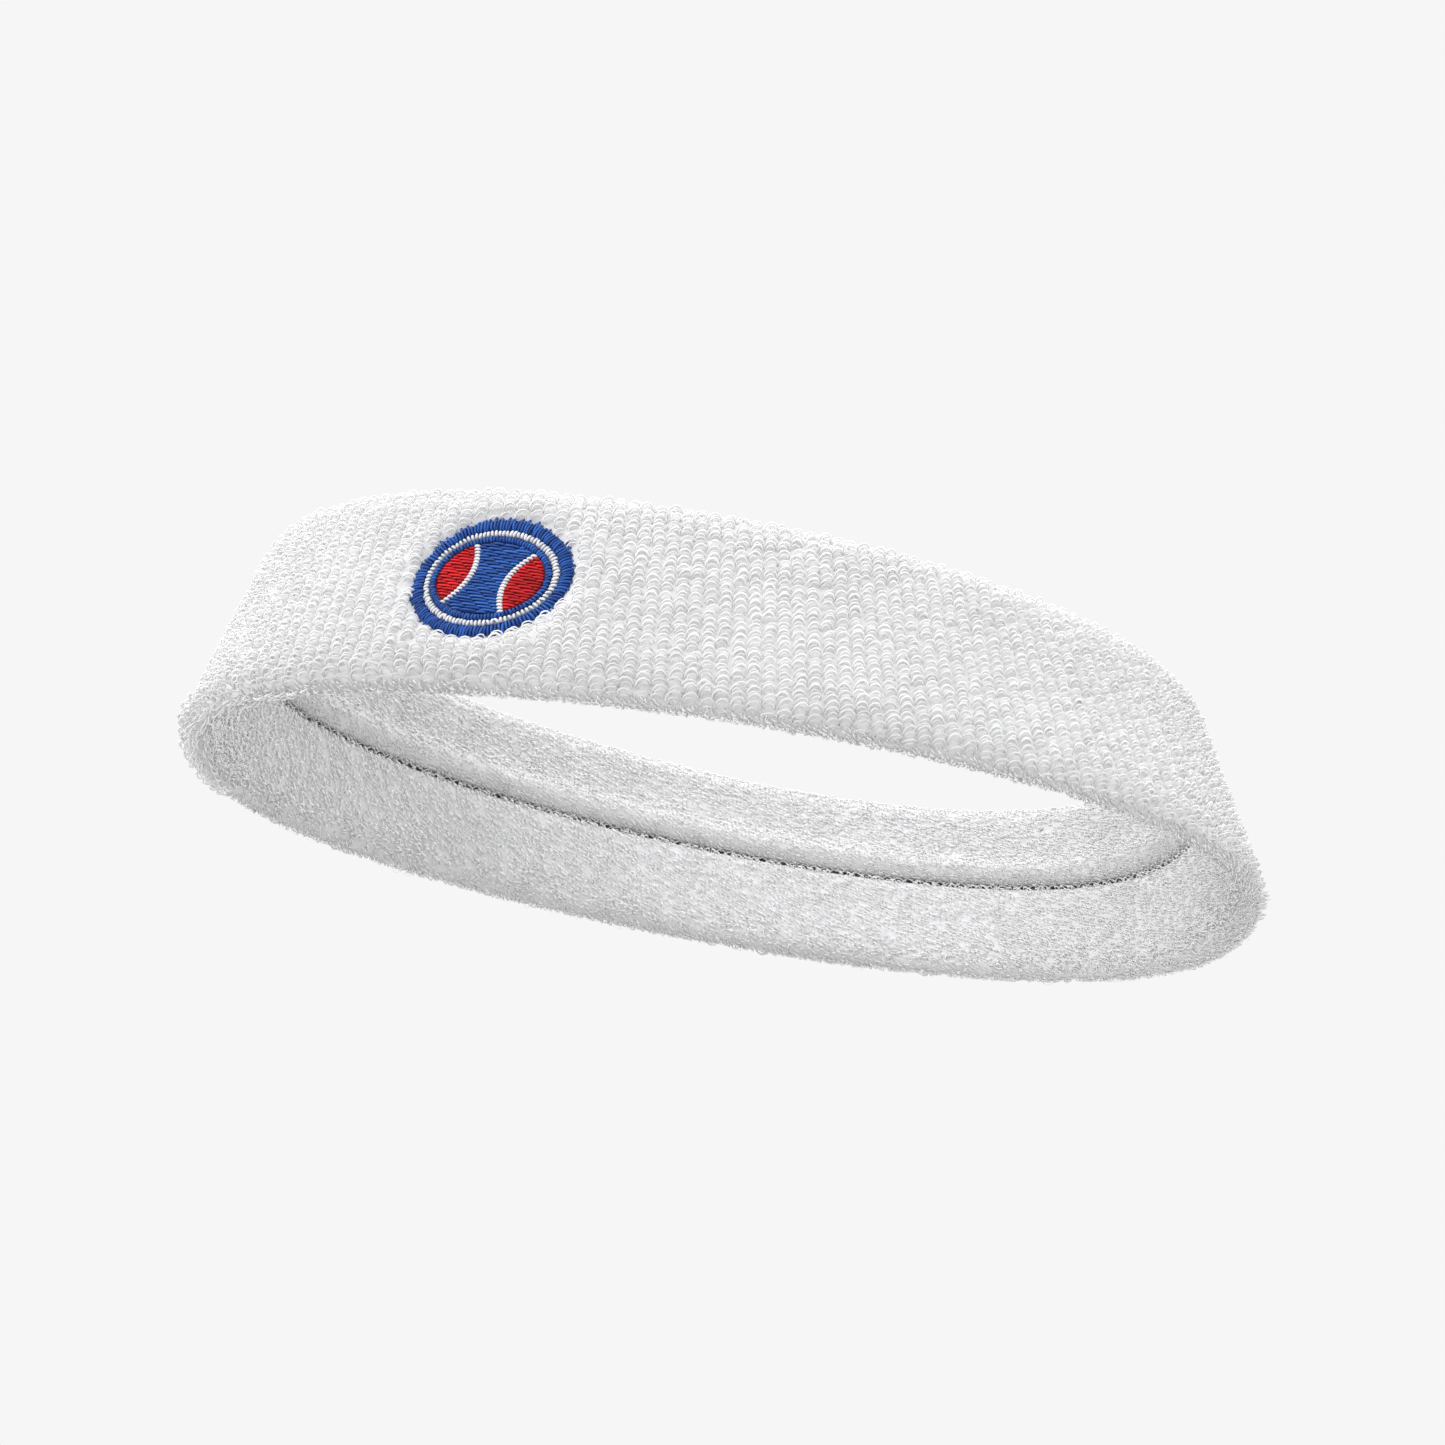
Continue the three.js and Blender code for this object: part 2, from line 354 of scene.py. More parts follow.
# Finishes
weave = {
    "patchShare": 0.5,  # of the broad noise in the tone
    "strandShare": 0.75,  # of the strand's own shade
    "patchDetail": 3,
    "grainDetail": 4,
    "bump": 0.6,
}


def ramp(nodes, low, high):
    mix = nodes.new("ShaderNodeMix")
    mix.data_type = "RGBA"
    mix.inputs["A"].default_value, mix.inputs["B"].default_value = (*low, 1), (*high, 1)
    return mix


def maths(nodes, operation, *values):
    node = nodes.new("ShaderNodeMath")
    node.operation = operation
    for i, value in enumerate(values, start=1):
        node.inputs[i].default_value = value
    return node


# Fibre: tone from the strand's own shade and a broad noise, bump from a fine one.
def fibre(name, low, high, broad, fine, depth, settings):
    material = bpy.data.materials.new(name)
    nodes, links = nodesOf(material)
    place = nodes.new("ShaderNodeTexCoord")
    strand = nodes.new("ShaderNodeAttribute")
    strand.attribute_name = "shade"
    patch, grain = nodes.new("ShaderNodeTexNoise"), nodes.new("ShaderNodeTexNoise")
    patch.inputs["Scale"].default_value = broad
    patch.inputs["Detail"].default_value = weave["patchDetail"]
    grain.inputs["Scale"].default_value = fine
    grain.inputs["Detail"].default_value = weave["grainDetail"]
    patchPart = maths(nodes, "MULTIPLY", weave["patchShare"])
    strandPart = maths(nodes, "MULTIPLY", weave["strandShare"])
    total = maths(nodes, "ADD")
    tone = ramp(nodes, low, high)
    bump = nodes.new("ShaderNodeBump")
    bump.inputs["Strength"].default_value = weave["bump"]
    bump.inputs["Distance"].default_value = depth
    shader = nodes.new("ShaderNodeBsdfPrincipled")
    for socket, value in settings.items():
        shader.inputs[socket].default_value = value
    out = nodes.new("ShaderNodeOutputMaterial")
    for texture in (patch, grain):
        links.new(place.outputs["Object"], texture.inputs["Vector"])
    links.new(patch.outputs[0], patchPart.inputs[0])
    links.new(patchPart.outputs[0], total.inputs[0])
    links.new(strand.outputs["Fac"], strandPart.inputs[0])
    links.new(strandPart.outputs[0], total.inputs[1])
    links.new(total.outputs[0], tone.inputs["Factor"])
    links.new(tone.outputs["Result"], shader.inputs["Base Color"])
    links.new(grain.outputs[0], bump.inputs["Height"])
    links.new(bump.outputs[0], shader.inputs["Normal"])
    links.new(shader.outputs[0], out.inputs["Surface"])
    return material


cotton = {
    "Roughness": 0.95,
    "Sheen Weight": 0.12,
    "Sheen Roughness": 0.5,
    "Subsurface Weight": 0.22,
    "Subsurface Radius": (1, 1, 1),
    "Subsurface Scale": 0.0004,
}
silky = {"Roughness": 0.45, "Specular IOR Level": 0.35}

# Name, darkest and lightest tone, scales of the broad and the fine noise, depth of the bump.
yarns = {
    "pile": ("terryCotton", (0.62, 0.62, 0.62), (0.98, 0.98, 0.98), 60, 5000, 4e-5, cotton),
    "inner": ("innerCotton", (0.78, 0.78, 0.78), (1.0, 1.0, 1.0), 60, 5000, 4e-5, cotton),
    # the knit is toned darker than the loops, as painted shade in the gaps between them
    "knit": ("groundKnit", (0.66, 0.66, 0.67), (0.80, 0.80, 0.81), 300, 2500, 2e-4, cotton),
    "seam": ("seamYarn", (0.70, 0.70, 0.70), (0.90, 0.90, 0.90), 400, 5000, 6e-5, cotton),
    "elastic": ("elasticYarn", (0.62, 0.62, 0.61), (0.82, 0.82, 0.80), 300, 3000, 1e-4, cotton),
    "backing": ("backingFelt", (0.72, 0.72, 0.70), (0.90, 0.90, 0.88), 500, 2500, 1e-4, cotton),
    "blue": ("blueThread", (0.003, 0.022, 0.13), (0.030, 0.135, 0.52), 250, 5000, 5e-5, silky),
    "red": ("redThread", (0.24, 0.001, 0.004), (0.72, 0.010, 0.016), 250, 5000, 5e-5, silky),
    # the white thread's darkest tone is a bluish painted shade, on its pad and at its stitch ends
    "white": ("whiteThread", (0.22, 0.27, 0.42), (0.95, 0.95, 0.96), 250, 5000, 5e-5, silky),
}
finishes = {key: fibre(*yarn) for key, yarn in yarns.items()}
print("stage: finishes")


# Makes a mesh a piece: its finish, its body and the nodes that it stands for.
def addPiece(name, data, finish, nodes):
    data.materials.append(finishes[finish])
    data.shade_smooth()
    piece = bpy.data.objects.new(name, data)
    scene.collection.objects.link(piece)
    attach(piece, "root")
    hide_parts(*nodes)
    return piece


# A strand bent into an arch one wide, that stands along Z from feet on X.
def strandShape(sides, steps, spread, tube):
    bm = bmesh.new()
    ring = bmesh.ops.create_circle(bm, segments=sides, radius=tube)["verts"]
    bmesh.ops.translate(bm, verts=ring, vec=(0.5, 0, 0))
    start = Quaternion((0, -1, 0), math.radians(180 - spread) / 2).to_matrix()
    bmesh.ops.rotate(bm, verts=ring, cent=(0, 0, 0), matrix=start)
    geom = bm.edges[:] + bm.verts[:]
    turn = {"cent": (0, 0, 0), "axis": (0, -1, 0), "angle": math.radians(spread)}
    bmesh.ops.spin(bm, geom=geom, steps=steps, use_merge=False, **turn)
    return closedShape(bm, sides)


# A straight strand one long, along X, whose ends dip under.
def stitchShape(sides, steps, tube, crown):
    bm = bmesh.new()
    ring = bmesh.ops.create_circle(bm, segments=sides, radius=tube)["verts"]
    upright = Quaternion((0, 1, 0), math.pi / 2).to_matrix()
    bmesh.ops.rotate(bm, verts=ring, cent=(0, 0, 0), matrix=upright)
    bmesh.ops.translate(bm, verts=ring, vec=(-0.5, 0, 0))
    edges = bm.edges[:]
    for i in range(steps):
        made = bmesh.ops.extrude_edge_only(bm, edges=edges)["geom"]
        verts = [g for g in made if isinstance(g, bmesh.types.BMVert)]
        bmesh.ops.translate(bm, verts=verts, vec=(1 / steps, 0, 0))
        edges = [g for g in made if isinstance(g, bmesh.types.BMEdge)]
        edges = [e for e in edges if all(v in verts for v in e.verts)]
    for v in bm.verts:
        v.co.z += crown * (1 - (2 * abs(v.co.x)) ** 2.5)
    return closedShape(bm, sides)


# painted shade: each strand, loop or stitch is darker towards its feet and ends, where the pile
# shades it
strandFootShade = {"foot": 0.25, "rise": 1.25}  # a strand is darker at its feet


def closedShape(bm, sides):
    bmesh.ops.holes_fill(bm, edges=bm.edges[:], sides=sides)
    bmesh.ops.recalc_face_normals(bm, faces=bm.faces[:])
    bm.verts.index_update()
    verts = np.array([v.co for v in bm.verts])
    faces = [[v.index for v in f.verts] for f in bm.faces]
    bm.free()
    rise = (verts[:, 2] - verts[:, 2].min()) / np.ptp(verts[:, 2])
    foot = strandFootShade["foot"]
    return {
        "verts": verts,
        "sizes": np.array([len(f) for f in faces]),
        "corners": np.concatenate(faces),
        # painted shade, darker towards the feet
        "footShade": foot + (1 - foot) * np.clip(strandFootShade["rise"] * rise, 0, 1),
    }


# Lays copies of a small shape down, each with its own origin and its own three axes.
def laidMesh(name, batches):
    points, corners, sizes, shades = [], [], [], []
    first = 0
    for shape, origins, axes, shade in batches:
        count, each = len(origins), len(shape["verts"])
        laid = origins[:, None, :] + np.einsum("mi,kij->kmj", shape["verts"], axes)
        points.append(laid.reshape(-1, 3))
        starts = first + each * np.arange(count)
        corners.append((starts[:, None] + shape["corners"][None, :]).ravel())
        sizes.append(np.tile(shape["sizes"], count))
        # each strand's own shade times its painted shade towards the feet
        shades.append((np.asarray(shade)[:, None] * shape["footShade"]).ravel())
        first += each * count
    points, corners, sizes = (np.concatenate(x) for x in (points, corners, sizes))
    data = bpy.data.meshes.new(name)
    data.vertices.add(len(points))
    data.vertices.foreach_set("co", (points * mm).astype(np.float32).ravel())
    data.loops.add(len(corners))
    data.loops.foreach_set("vertex_index", corners.astype(np.int32))
    data.polygons.add(len(sizes))
    starts = np.concatenate([[0], np.cumsum(sizes)[:-1]])
    data.polygons.foreach_set("loop_start", starts.astype(np.int32))
    data.update(calc_edges=True)
    tone = data.attributes.new("shade", "FLOAT", "POINT")
    tone.data.foreach_set("value", np.concatenate(shades).astype(np.float32))
    return data


# Axes of laid strands: turned in the fabric by yaw, tilted from its normal towards the section's
# direction, with a width, a thickness and a height. An arch one wide is half as high.
def strandAxes(along, course, normal, yaw, tilt, width, thick, height, skew):
    yaw, tilt, width, thick, height, skew = (
        np.broadcast_to(x, len(along))[:, None] for x in (yaw, tilt, width, thick, height, skew)
    )
    a = np.cos(yaw) * along + np.sin(yaw) * course
    c = np.cos(yaw) * course - np.sin(yaw) * along
    top = np.cos(tilt) * normal + np.sin(tilt) * c
    back = np.cos(tilt) * c - np.sin(tilt) * normal
    return np.stack([a * width, back * thick, 2 * height * top + a * skew], 1)


# The knit that carries the loops, folded in two.
def makeKnit():
    bm = bmesh.new()
    runs = np.linspace(0, pathEnd, int(pathEnd / fold["step"]))
    radius = 100  # of a plain tube, which is then laid on the folded section
    line = [bm.verts.new((radius, 0, run)) for run in runs]
    for a, b in zip(line, line[1:]):
        bm.edges.new((a, b))
    bmesh.ops.spin(
        bm, geom=bm.edges[:] + bm.verts[:], cent=(0, 0, 0), axis=(0, 0, 1),
        angle=2 * math.pi, steps=fold["ringSteps"], use_merge=True,
    )
    bmesh.ops.remove_doubles(bm, verts=bm.verts[:], dist=1e-4)
    data = bpy.data.meshes.new("groundKnit")
    bm.to_mesh(data)
    co = np.zeros(len(data.vertices) * 3, np.float32)
    data.vertices.foreach_get("co", co)
    co = co.reshape(-1, 3).astype(float)
    place = skin(np.arctan2(co[:, 1], co[:, 0]), co[:, 2])[0]
    bm.verts.ensure_lookup_table()
    for v, p in zip(bm.verts, place):
        v.co = p * mm
    bmesh.ops.recalc_face_normals(bm, faces=bm.faces[:])
    outermost = max(bm.faces, key=lambda f: f.calc_center_median().y)
    if outermost.normal.y < 0:
        bmesh.ops.reverse_faces(bm, faces=bm.faces[:])
    bmesh.ops.solidify(bm, geom=bm.faces[:], thickness=fold["knitThickness"] * mm)
    bm.to_mesh(data)
    bm.free()
    tone = data.attributes.new("shade", "FLOAT", "POINT")
    tone.data.foreach_set("value", np.full(len(data.vertices), 0.5, np.float32))
    knit = addPiece("groundKnitSleeve", data, "knit", ["ground_knit"])
    print("stage: knit", len(data.polygons))
    return knit


knit = makeKnit()

# The terry loops
pile = {
    "wales": 186,
    "row": 1.5,  # between rows of loops
    "strands": 2,
    "width": 2.45,
    "height": 1.5,
    "tilt": 0.66,  # radians from standing straight out
    "bias": 0.24,  # how far the wales lean back for each mm up the wall
    "edgeHeight": 0.85,  # how much taller the loops are round the lower fold
    "edgeReach": 2.3,
    "edgeStand": 0.42,  # how much straighter they stand out there
    "under": (-0.86, -0.62),  # between these, by the cosine, the loops stop covering the lower fold
    "sectors": 6,
    "thick": 2.4,
    "arches": (200, 215, 230),  # degrees that a loop goes round
    "tube": 0.07,  # a strand's radius, as a share of the loop's width
    "nestHeight": (0.74, 1.03),  # of a loop's two strands, one inside the other
    "nestWidth": (0.72, 1.0),
    "nestApart": 0.42,
    "clear": (0.75, 0.35),  # how near they come to the badge, below its middle and above it
    "bowed": 0.3,  # how much lower they are beside the badge
    "foldLow": 0.35,  # and on the upper fold
    # painted shade by the lower rim:
    "rimShade": (0.7, 5.0),  # how much darker near the lower rim, and how far up
}
rng = np.random.default_rng(41)
archShapes = [strandShape(4, 7, arch, pile["tube"]) for arch in pile["arches"]]


# How much of the fold's underside the loops cover, from 1 at the narrow end of the near side to 0.
def coverUnder(angle):
    near, far = pile["under"]
    return np.clip((far - np.cos(angle)) / (far - near), 0, 1) * (np.sin(angle) < 0.45)


def layLoops():
    angles = evenAngles(pile["wales"])
    middle = (pathRun > 0.2 * pathEnd) & (pathRun < 0.8 * pathEnd)
    first = pathRun[(pathLine[:, 1] < 3) & (pathLine[:, 0] > -2.3)][0]  # inside the lower fold
    last = pathRun[middle & (pathLine[:, 0] > 0.3)][-1]  # on the upper fold
    rows = np.arange(first, last, pile["row"])
    wale, row, strand = np.meshgrid(
        np.arange(pile["wales"]), np.arange(len(rows)), np.arange(pile["strands"]), indexing="ij"
    )
    wale, row, strand = wale.ravel(), row.ravel(), strand.ravel()
    count = len(wale)
    # each wale starts its rows at its own place, and each loop has four quirks of its own
    phase = rng.uniform(-0.5, 0.5, pile["wales"])[wale]
    cell = np.clip(rng.normal(0, 1, (pile["wales"], len(rows), 4)), -1.7, 1.7)[wale, row]
    run = rows[row] + pile["row"] * (0.5 * phase + 0.10 * cell[:, 0])
    run = run + (strand - 0.5) * pile["nestApart"] + rng.normal(0, 0.06, count)
    nextTo = np.gradient(angles)[wale]
    angle = angles[wale] + (0.06 * cell[:, 1] + rng.normal(0, 0.03, count)) * nextTo
    point, _, up = sectionAt(run)
    z = point[:, 1]
    angle = angle - pile["bias"] * (z - band["height"] / 2) / stretch(angle, z)
    away = badgeDistance(angle, z)
    outside = point[:, 0] > 0
    cover = coverUnder(angle)
    under = np.clip((-up[:, 1] - 0.55) / 0.4, 0, 1)  # 1 where the loops point down
    rim = runAt(0.9, True) - run  # how far a loop is past the lower fold's outer corner
    clear = np.where(z < badge["height"], *pile["clear"])
    keep = ~(outside & (away < clear)) & (rim < 0.15 * cell[:, 2] - 0.1 + cover * 8)
    # loops open up round the lower fold
    edge = np.exp(-(((run - runAt(3.0, True)) / pile["edgeReach"]) ** 2)) * (1 - under)
    loose = edge * (1 + 0.35 * cover)
    over = np.clip((up[:, 1] - 0.3) / 0.7, 0, 1)  # 1 where they point up
    near = outside * np.exp(-np.clip(away - 0.4, 0, None) / 2.5)  # 1 beside the badge
    place, along, course, normal = skin(angle, run)
    nested = np.array(pile["nestHeight"])[strand]
    height = (pile["height"] + pile["edgeHeight"] * loose) * (1 + 0.09 * cell[:, 2]) * nested
    height = height * rng.uniform(0.88, 1.1, count)
    height = height * (1 - pile["foldLow"] * over) * (1 - pile["bowed"] * near)
    tilt = pile["tilt"] * (1 - pile["edgeStand"] * edge) + 0.14 * cell[:, 3]
    tilt = (tilt + rng.normal(0, 0.06, count)) * (1 - 0.5 * under)
    width = pile["width"] * (1 + 0.2 * loose) * (1 + 0.04 * cell[:, 2])
    width = width * np.array(pile["nestWidth"])[strand] * rng.uniform(0.93, 1.05, count)
    yaw = pile["bias"] + rng.normal(0, 0.07 + 0.25 * under, count)
    skew = rng.normal(0, 0.18, count) + 0.15 * cell[:, 1]
    axes = strandAxes(along, course, normal, yaw, tilt, width, pile["thick"], height, skew)
    # painted shade: the loops get darker towards the lower rim
    darker, reach = pile["rimShade"]
    shade = rng.uniform(0.35, 1.1, count) * (1 - darker * np.exp(-np.clip(z - 1, 0, None) / reach))
    kind = rng.integers(0, len(archShapes), count)
    sector = wale * pile["sectors"] // pile["wales"]
    pieces = []
    for s in range(pile["sectors"]):
        batches = []
        for k, shape in enumerate(archShapes):
            pick = keep & (sector == s) & (kind == k)
            batches.append((shape, place[pick], axes[pick], shade[pick]))
        data = laidMesh(f"terryLoopsOuter{s + 1}", batches)
        pieces.append(addPiece(data.name, data, "pile", ["terry_pile"]))
    print("stage: outer loops", count)
    return pieces


loopPieces = layLoops()

# The pile against the head: finer strands, pressed flat and slanting. It runs on under the lower
# fold and over the upper one.
inner = {
    "wales": 540,
    "row": 0.72,
    "length": 1.05,
    "height": 0.62,
    "thick": 1.05,
    "arches": (170, 200),
    "tube": 0.13,
    "pieces": 3,  # that each ring of it is split into
    "missing": 0.17,  # share of the strands left out, for pits
    "slantLower": -0.62,  # radians
    "slantUpper": -0.35,
    "edge": 3.2,  # how far up from the lower fold its loops still stand
    "standing": 0.2,  # how much taller they are there
}
flatShapes = [strandShape(3, 3, arch, inner["tube"]) for arch in inner["arches"]]


# A ring of it between two runs of the section. The rim is the run where the lower fold starts.
def layInner(name, low, high, slant, rim=None):
    angles = evenAngles(inner["wales"])
    rows = np.arange(low, high, inner["row"])
    wale, row = (g.ravel() for g in np.meshgrid(np.arange(len(angles)), np.arange(len(rows))))
    count = len(wale)
    run = rows[row] + inner["row"] * (0.5 * (wale % 2) + rng.normal(0, 0.18, count))
    angle = angles[wale] + rng.normal(0, 0.22, count) * np.gradient(angles)[wale]
    place, along, course, normal = skin(angle, run)
    edge = np.zeros(count)
    if rim:
        edge = np.exp(-(((rim - 1.5 - run) / inner["edge"]) ** 2)) * (run < rim)
    # the way the pile lies drifts slowly round the band
    broad = slant * (1 - 0.3 * np.cos(angle)) + np.sin(7 * angle) * 0.06
    yaw = broad * (1 - 0.6 * edge) + rng.normal(0, 0.22 + 0.25 * edge, count)
    tilt = rng.normal(0, 0.3, count)
    length = inner["length"] * rng.uniform(0.7, 1.25, count) * (1 + 0.15 * edge)
    height = (inner["height"] + inner["standing"] * edge) * rng.uniform(0.6, 1.5, count)
    skew = rng.normal(0, 0.12, count)
    axes = strandAxes(along, course, normal, yaw, tilt, length, inner["thick"], height, skew)
    keep = (run < rim) | (coverUnder(angle) < 0.8) if rim else run > 0
    keep = keep & (rng.random(count) > inner["missing"])
    shade = rng.uniform(0.1, 1.15, count)
    kind = rng.integers(0, len(flatShapes), count)
    part = wale * inner["pieces"] // len(angles)
    pieces = []
    for h in range(inner["pieces"]):
        batches = []
        for k, shape in enumerate(flatShapes):
            pick = keep & (kind == k) & (part == h)
            batches.append((shape, place[pick], axes[pick], shade[pick]))
        data = laidMesh(f"{name}{h + 1}", batches)
        pieces.append(addPiece(data.name, data, "inner", ["terry_pile"]))
    print("stage:", name, count)
    return pieces


topRun = pathRun[(pathLine[:, 1] > 40) & (pathLine[:, 0] < 0.5)][0]
innerPieces = [
    *layInner(
        "terryInnerLower", runAt(fold["seam"] - 1, False), runAt(1.1, True), inner["slantLower"],
        rim=runAt(0.9, False),
    ),
    *layInner("terryInnerUpper", topRun, pathEnd - 1.2, inner["slantUpper"]),
]

# Stray fibres that stand off the pile.
fuzz = {
    "count": 4800,
    "length": 2.0,
    "height": 0.5,
    "onLip": 0.3,  # share of them on the seam's upper lip
    "lift": 0.7,  # on the outside, where the loops are tall
    "arch": 160,
    "tube": 0.03,
    "clear": 1,  # how near they come to the badge
}


def layFuzz():
    count = fuzz["count"]
    angle, run = rng.uniform(0, 2 * math.pi, count), rng.uniform(1.5, pathEnd, count)
    # many are on the seam's upper lip, the rest all over the section
    lip = rng.random(count) < fuzz["onLip"]
    run = np.where(lip, rng.uniform(runAt(fold["seam"] + 7, False), pathEnd - 1, count), run)
    point = sectionAt(run)[0]
    outside = point[:, 0] > 0
    place, along, course, normal = skin(angle, run, fuzz["lift"] * outside)
    yaw, tilt = rng.uniform(-1.6, 1.6, count), rng.normal(0, 0.7, count)
    length = fuzz["length"] * rng.uniform(0.4, 1.3, count)
    height = fuzz["height"] * rng.uniform(0.5, 1.5, count)
    skew = rng.normal(0, 0.4, count)
    axes = strandAxes(along, course, normal, yaw, tilt, length, 1.0, height, skew)
    keep = ~(outside & (badgeDistance(angle, point[:, 1]) < fuzz["clear"]))
    shape = strandShape(3, 5, fuzz["arch"], fuzz["tube"])
    shade = rng.uniform(0.5, 1, count)
    batch = (shape, place[keep], axes[keep], shade[keep])
    data = laidMesh("terryStrayFibres", [batch])
    return addPiece(data.name, data, "pile", ["terry_pile"])


fuzzPiece = layFuzz()
print("stage: stray fibres")

# The seam's overlock thread
seam = {
    "stitches": 216,  # each way
    "pitch": 2.4,
    "length": 2.1,
    "thick": 2.6,
    "slant": 0.6,  # radians
    "tube": 0.06,
    "crown": 0.12,
    "at": (-1.5, -0.15),  # out from the wall's middle, and up from the seam's height
}


def laySeam():
    count = seam["stitches"]
    angle = evenAngles(count)
    out, rise = seam["at"]
    z = np.full(count, fold["seam"] + rise)
    place = wallPoint(angle, z, np.full(count, out))
    along, up, outward = wallAxes(angle, z)
    shape = stitchShape(4, 6, seam["tube"], seam["crown"])
    batches = []
    for turn, offset in ((seam["slant"], 0.0), (-seam["slant"], 0.5)):
        shift = along * (seam["pitch"] * offset)
        a = unit(along * math.cos(turn) + up * math.sin(turn)) * seam["length"]
        side = unit(np.cross(-outward, a)) * seam["thick"]
        axes = np.stack([a, side, -outward * seam["thick"]], 1)
        batches.append((shape, place + shift, axes, rng.uniform(0.2, 1, count)))
    data = laidMesh("seamOverlockStitches", batches)
    return addPiece(data.name, data, "seam", ["seam_overlock_thread"])


seamPiece = laySeam()
print("stage: seam stitches")

# The badge's stitches
thread = {
    "pitch": 0.64,
    "tube": 0.28,
    "build": 0.6,  # height of a satin stitch's crown
    "ragged": 1.0,  # how far the border's stitches stray outwards
    "rowPitch": 0.92,  # of the filled fields, as a share of the pitch
    "rowStitch": 3.4,
    "rowShift": 0.37,  # of each row's stitches against the last one's
    "rowBuild": 0.28,
    "seamBuild": 0.42,
    "padThickness": 0.35,
}
stitch = stitchShape(4, 6, 0.5, 1)


# The padding under the stitches: flat shapes of the drawing with a thickness, laid on the wall.
def padBatch(bm):
    bmesh.ops.recalc_face_normals(bm, faces=bm.faces[:])
    bmesh.ops.solidify(bm, geom=bm.faces[:], thickness=thread["padThickness"])
    bmesh.ops.recalc_face_normals(bm, faces=bm.faces[:])
    shape = closedShape(bm, 3)
    u, v, lift = shape["verts"].T
    angle, z = onWall(u, v)
    shape["verts"] = wallPoint(angle, z, badge["face"] + lift - lift.max() + 0.05)
    # painted shade: the pads take their finish's darkest tone, so the gaps between the stitches
    # look shaded
    return shape, np.zeros((1, 3)), np.eye(3)[None], np.array([0.0])


def ringPad(outerInset, innerInset):
    bm = bmesh.new()
    reach = [(badge["halfWidth"] - i, badge["halfHeight"] - i) for i in (outerInset, innerInset)]
    for a, b in reach:
        verts = bmesh.ops.create_circle(bm, segments=72, radius=1)["verts"]
        bmesh.ops.scale(bm, verts=verts, vec=(a, b, 1))
    bmesh.ops.bridge_loops(bm, edges=bm.edges[:])
    return padBatch(bm)


# As wide as the field at each height, and as high as the field is wide enough.
def panelPad(left, right):
    bm = bmesh.new()
    bmesh.ops.create_grid(bm, x_segments=4, y_segments=24, size=0.5)
    reach = fieldHalfHeight
    while right(reach) - left(reach) < 0.3 and reach > 1:
        reach -= 0.05
    for vert in bm.verts:
        v = 2 * reach * vert.co.y
        vert.co = (left(v) + (right(v) - left(v)) * (vert.co.x + 0.5), v, 0)
    return padBatch(bm)


# Stitches from one point of the drawing to another, each as a low arch of thread.
def laidStitches(start, end, crown, shade):
    ends = []
    for p in (start, end):
        angle, z = onWall(p[:, 0], p[:, 1])
        ends.append(wallPoint(angle, z, np.full(len(p), badge["face"])))
    middle = (start + end) / 2
    angle, z = onWall(middle[:, 0], middle[:, 1])
    outward = wallAxes(angle, z)[2]
    reach = ends[1] - ends[0]
    side = unit(np.cross(outward, reach)) * (2 * thread["tube"])
    axes = np.stack([reach, side, outward * np.asarray(crown)[:, None]], 1)
    centre = (ends[0] + ends[1]) / 2 + outward * 0.1
    return stitch, centre, axes, shade


# Evenly spaced points of the badge's oval, and their outward directions.
def ovalRim(inset, count):
    a, b = badge["halfWidth"] - inset, badge["halfHeight"] - inset
    fine = np.linspace(0, 2 * math.pi, 721)
    line = np.stack([a * np.cos(fine), b * np.sin(fine)], -1)
    run = np.concatenate([[0], np.cumsum(np.linalg.norm(np.diff(line, axis=0), axis=1))])
    turn = np.interp(np.arange(count) / count * run[-1], run, fine)
    at = np.stack([a * np.cos(turn), b * np.sin(turn)], -1)
    normal = unit(np.stack([np.cos(turn) / a, np.sin(turn) / b], -1))
    return at, normal


# A ring of satin stitches across a pad.
def satinRing(name, node, finish, outerInset, width, ragged, low=0.0, apart=1.0):
    middle = outerInset + width / 2
    across = math.hypot(badge["halfWidth"] - middle, badge["halfHeight"] - middle)
    count = int(2 * math.pi * across / math.sqrt(2) / (thread["pitch"] * apart))
    at, normal = ovalRim(middle, count)
    slantways = np.stack([-normal[:, 1], normal[:, 0]], -1) * rng.normal(0.1, 0.12, count)[:, None]
    outer = width / 2 + 0.02 + ragged * rng.uniform(0, 1, count) ** 1.5
    innerReach = width / 2 + 0.10 + 0.3 * ragged * rng.uniform(-0.5, 1, count)
    crown = thread["build"] * rng.uniform(0.85, 1.15, count) * min(1, 0.6 + width / 5)
    batch = laidStitches(
        at - normal * innerReach[:, None] - slantways,
        at + normal * outer[:, None] + slantways, crown, rng.uniform(low, 1, count),
    )
    data = laidMesh(name, [batch, ringPad(outerInset - 0.05, outerInset + width + 0.05)])
    return addPiece(name, data, finish, [node])


# Half the oval's width at a height of the drawing.
def ovalHalf(v, inset):
    share = v / (badge["halfHeight"] - inset)
    return (badge["halfWidth"] - inset) * np.sqrt(np.clip(1 - share * share, 0, None))


fieldHalfHeight = badge["halfHeight"] - badge["fieldInset"]


def ballSeam(v):
    return badge["seamOut"] - badge["seamBulge"] * (1 - (v / fieldHalfHeight) ** 2)


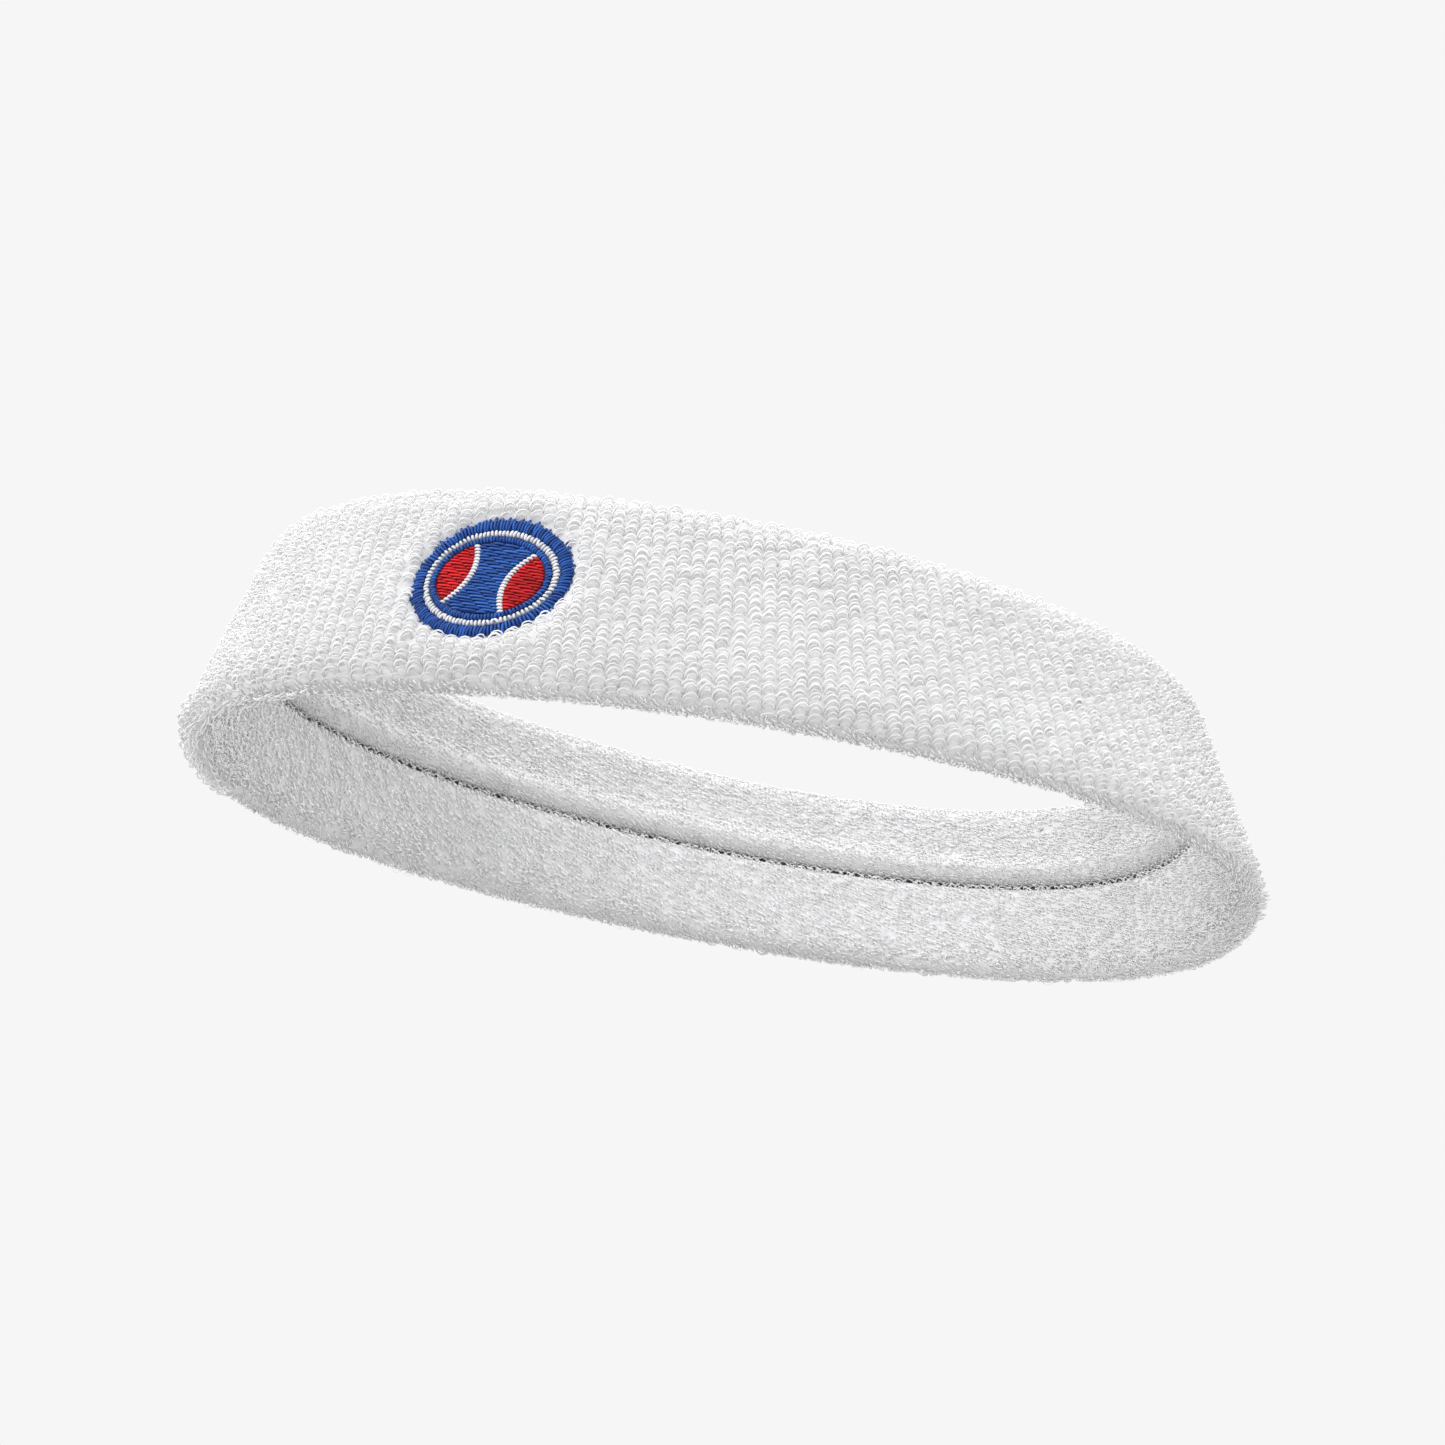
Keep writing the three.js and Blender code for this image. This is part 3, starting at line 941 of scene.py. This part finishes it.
# A field between two lines, filled with rows of stitches that start at different places.
def filledPanel(name, node, finish, left, right):
    rowGap = thread["pitch"] * thread["rowPitch"]
    rows = np.arange(-fieldHalfHeight - 0.1, fieldHalfHeight + 0.1, rowGap)
    starts, ends = [], []
    for i, v in enumerate(rows):
        a, b = float(left(v)), float(right(v))
        if b - a < 0.5:
            continue
        shift = (i * thread["rowShift"] % 1) * thread["rowStitch"]
        cuts = np.arange(a - shift, b, thread["rowStitch"])
        cuts = np.concatenate([[a], cuts[(cuts > a + 0.7) & (cuts < b - 0.7)], [b]])
        for p, q in zip(cuts, cuts[1:]):
            tip = rng.uniform(0.02, 0.16)
            starts.append((p - tip, v - 0.05 + rng.normal(0, 0.03)))
            ends.append((q + tip, v + 0.12 + rng.normal(0, 0.03)))
    count = len(starts)
    crown = thread["rowBuild"] * rng.uniform(0.8, 1.25, count)
    batch = laidStitches(np.array(starts), np.array(ends), crown, rng.uniform(0, 1, count))
    data = laidMesh(name, [batch, panelPad(left, right)])
    return addPiece(name, data, finish, [node])


def seamLine(name, node, sign):
    v = np.arange(-fieldHalfHeight, fieldHalfHeight, thread["pitch"])
    v = v[ovalHalf(v, badge["fieldInset"]) > ballSeam(v) - badge["seamWidth"] / 2]
    middle = sign * ballSeam(v)
    half = badge["seamWidth"] / 2 + 0.12
    low = np.stack([middle - half, v - 0.1], -1)
    high = np.stack([middle + half, v + 0.1], -1)
    crown = np.full(len(v), thread["seamBuild"])
    batch = laidStitches(low, high, crown, rng.uniform(0.7, 1, len(v)))
    data = laidMesh(name, [batch])
    return addPiece(name, data, "white", [node])


def fieldEdge(v):
    return ovalHalf(v, badge["fieldInset"])


def middleEdge(v):
    return min(fieldEdge(v), ballSeam(v) - badge["seamWidth"] / 2)


def sideEdge(v):
    return ballSeam(v) + badge["seamWidth"] / 2


def makeBadge():
    gap, line = badge["gap"], badge["inlineWidth"]
    inline = badge["borderWidth"] + gap
    satinRing(
        "badgeBorder", "badge_border_blue", "blue",
        0, badge["borderWidth"], thread["ragged"],
    )
    satinRing(
        "badgeInline", "badge_inline_white", "white",
        inline, line, 0.3, low=0.7, apart=1.2,
    )
    satinRing(
        "badgeOutline", "badge_outline_blue", "blue",
        inline + line + gap, line, 0.1,
    )
    filledPanel(
        "badgeMiddle", "badge_panel_middle_blue", "blue",
        lambda v: -middleEdge(v), middleEdge,
    )
    filledPanel(
        "badgeLeftSide", "badge_panel_left_red", "red",
        lambda v: -fieldEdge(v), lambda v: -sideEdge(v),
    )
    filledPanel(
        "badgeRightSide", "badge_panel_right_red", "red", sideEdge, fieldEdge,
    )
    seamLine("badgeBallSeamLeft", "badge_ball_seam_left_white", -1)
    seamLine("badgeBallSeamRight", "badge_ball_seam_right_white", 1)


makeBadge()
print("stage: badge")

# The pieces that stay as they are in the frame, inside the sleeve
inside = {"elastic_yarn": "elastic", "embroidery_backing": "backing", "bobbin_stitching": "seam"}
for name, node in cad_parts.items():
    for start, finish in inside.items():
        if name.startswith(start):
            node.data.materials.clear()
            node.data.materials.append(finishes[finish])
